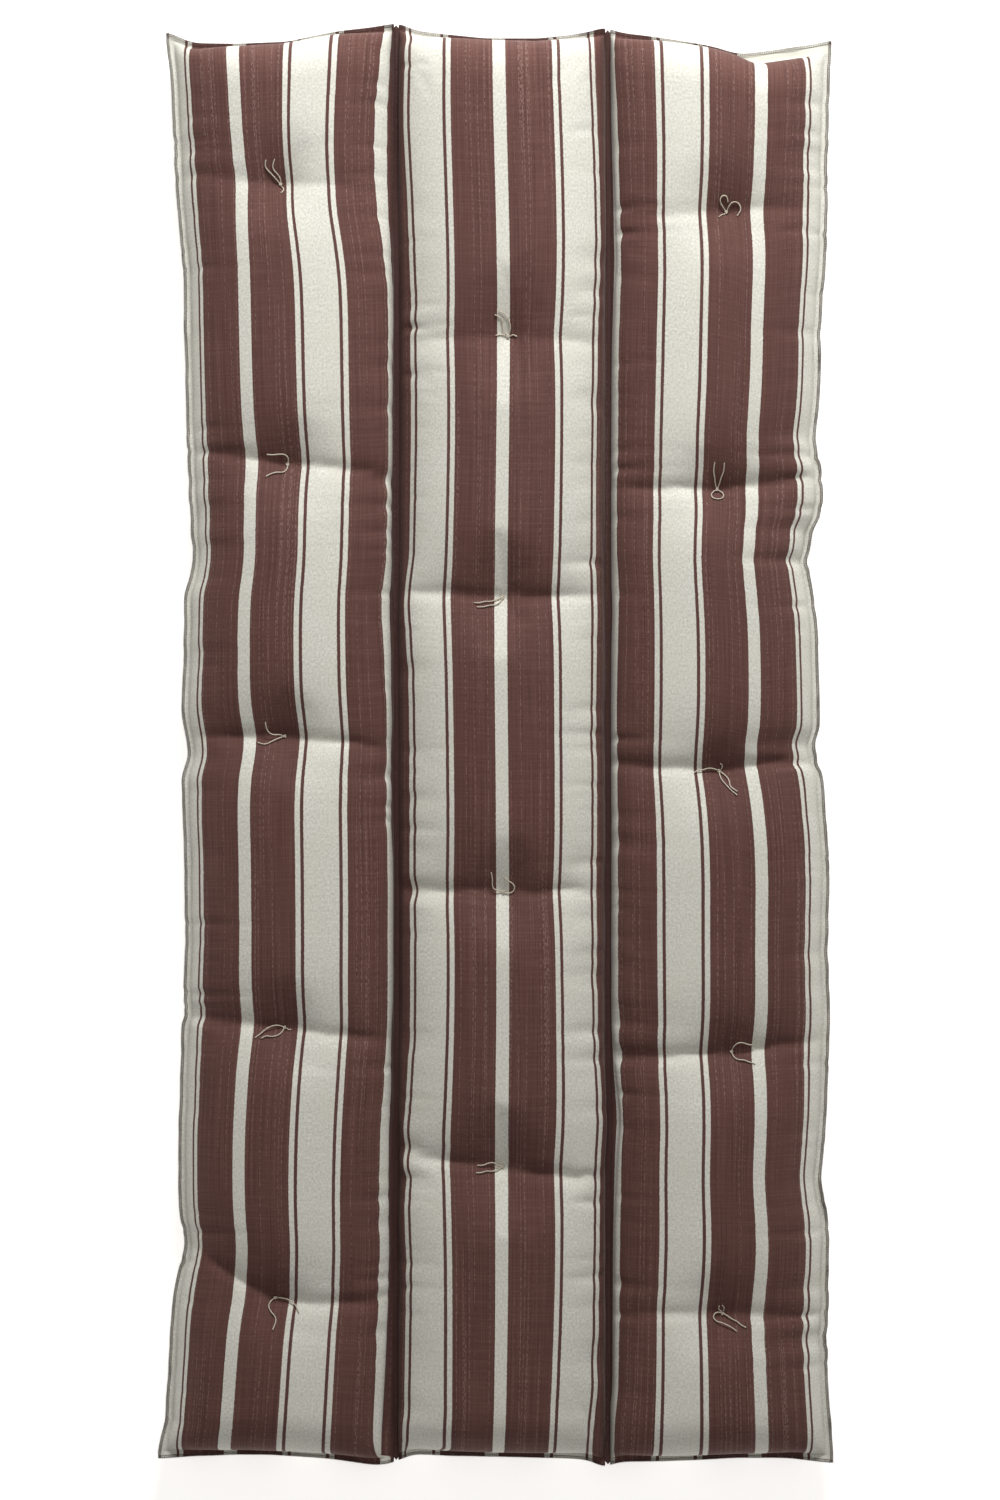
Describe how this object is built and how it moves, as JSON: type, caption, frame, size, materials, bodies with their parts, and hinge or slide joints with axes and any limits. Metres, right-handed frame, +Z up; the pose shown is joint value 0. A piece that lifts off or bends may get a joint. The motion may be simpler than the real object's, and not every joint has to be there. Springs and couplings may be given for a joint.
{
  "type": "futon mattress",
  "caption": "Striped cotton futon mattress of three long stuffed tubes joined by sewn valleys, tufted with twine ties, with a raw overlocked edge.",
  "frame": {"origin": "on the floor, under the middle of the mattress", "axes": "+X across the three tubes, +Y along them to the head end, +Z up"},
  "size_m": [0.89, 1.901, 0.096],
  "materials": {
    "striped_ticking": "matte woven cotton with brown and cream stripes",
    "filling": "loose plant-fibre stuffing",
    "overlock_thread": "matte dark thread",
    "twine": "rough natural twine"
  },
  "bodies": {
    "right_section": {"right_top_ticking": "striped_ticking", "right_bottom_ticking": "striped_ticking", "right_filling": "filling", "right_overlocked_edge": "overlock_thread", "right_valley_web": "striped_ticking", "right_1_tie": "twine", "right_1_tail_a": "twine", "right_1_tail_b": "twine", "right_2_tie": "twine", "right_2_tail_a": "twine", "right_2_tail_b": "twine", "right_2_tail_loop": "twine", "right_3_tie": "twine", "right_3_tail_a": "twine", "right_3_tail_b": "twine", "right_3_tail_c": "twine", "right_4_tie": "twine", "right_4_tail_a": "twine", "right_4_tail_b": "twine", "right_5_tie": "twine", "right_5_tail_a": "twine", "right_5_tail_b": "twine"},
    "middle_section": {"middle_top_ticking": "striped_ticking", "middle_bottom_ticking": "striped_ticking", "middle_filling": "filling", "middle_overlocked_edge": "overlock_thread", "left_valley_web": "striped_ticking", "middle_1_tie": "twine", "middle_1_tail_a": "twine", "middle_1_tail_b": "twine", "middle_2_tie": "twine", "middle_2_tail_a": "twine", "middle_2_tail_b": "twine", "middle_3_tie": "twine", "middle_3_tail_a": "twine", "middle_3_tail_b": "twine", "middle_4_tie": "twine", "middle_4_tail_a": "twine", "middle_4_tail_b": "twine"},
    "left_section": {"left_top_ticking": "striped_ticking", "left_bottom_ticking": "striped_ticking", "left_filling": "filling", "left_overlocked_edge": "overlock_thread", "left_1_tie": "twine", "left_1_tail_a": "twine", "left_1_tail_b": "twine", "left_2_tie": "twine", "left_2_tail_a": "twine", "left_2_tail_b": "twine", "left_3_tie": "twine", "left_3_tail_a": "twine", "left_3_tail_b": "twine", "left_4_tie": "twine", "left_4_tail_a": "twine", "left_4_tail_b": "twine", "left_5_tie": "twine", "left_5_tail_a": "twine", "left_5_tail_b": "twine"}
  },
  "joints": [
    {"name": "middle_fold", "type": "hinge", "parent": "right_section", "child": "middle_section", "pos_m": [0.1385, 0, 0.0965], "axis": [0, 1, 0], "range_deg": [0, 180]},
    {"name": "left_fold", "type": "hinge", "parent": "middle_section", "child": "left_section", "pos_m": [-0.1385, 0, -0.0005], "axis": [0, -1, 0], "range_deg": [0, 180]}
  ],
  "couplings": [
    {"joint": "left_fold", "follows": "middle_fold", "ratio": 1}
  ]
}
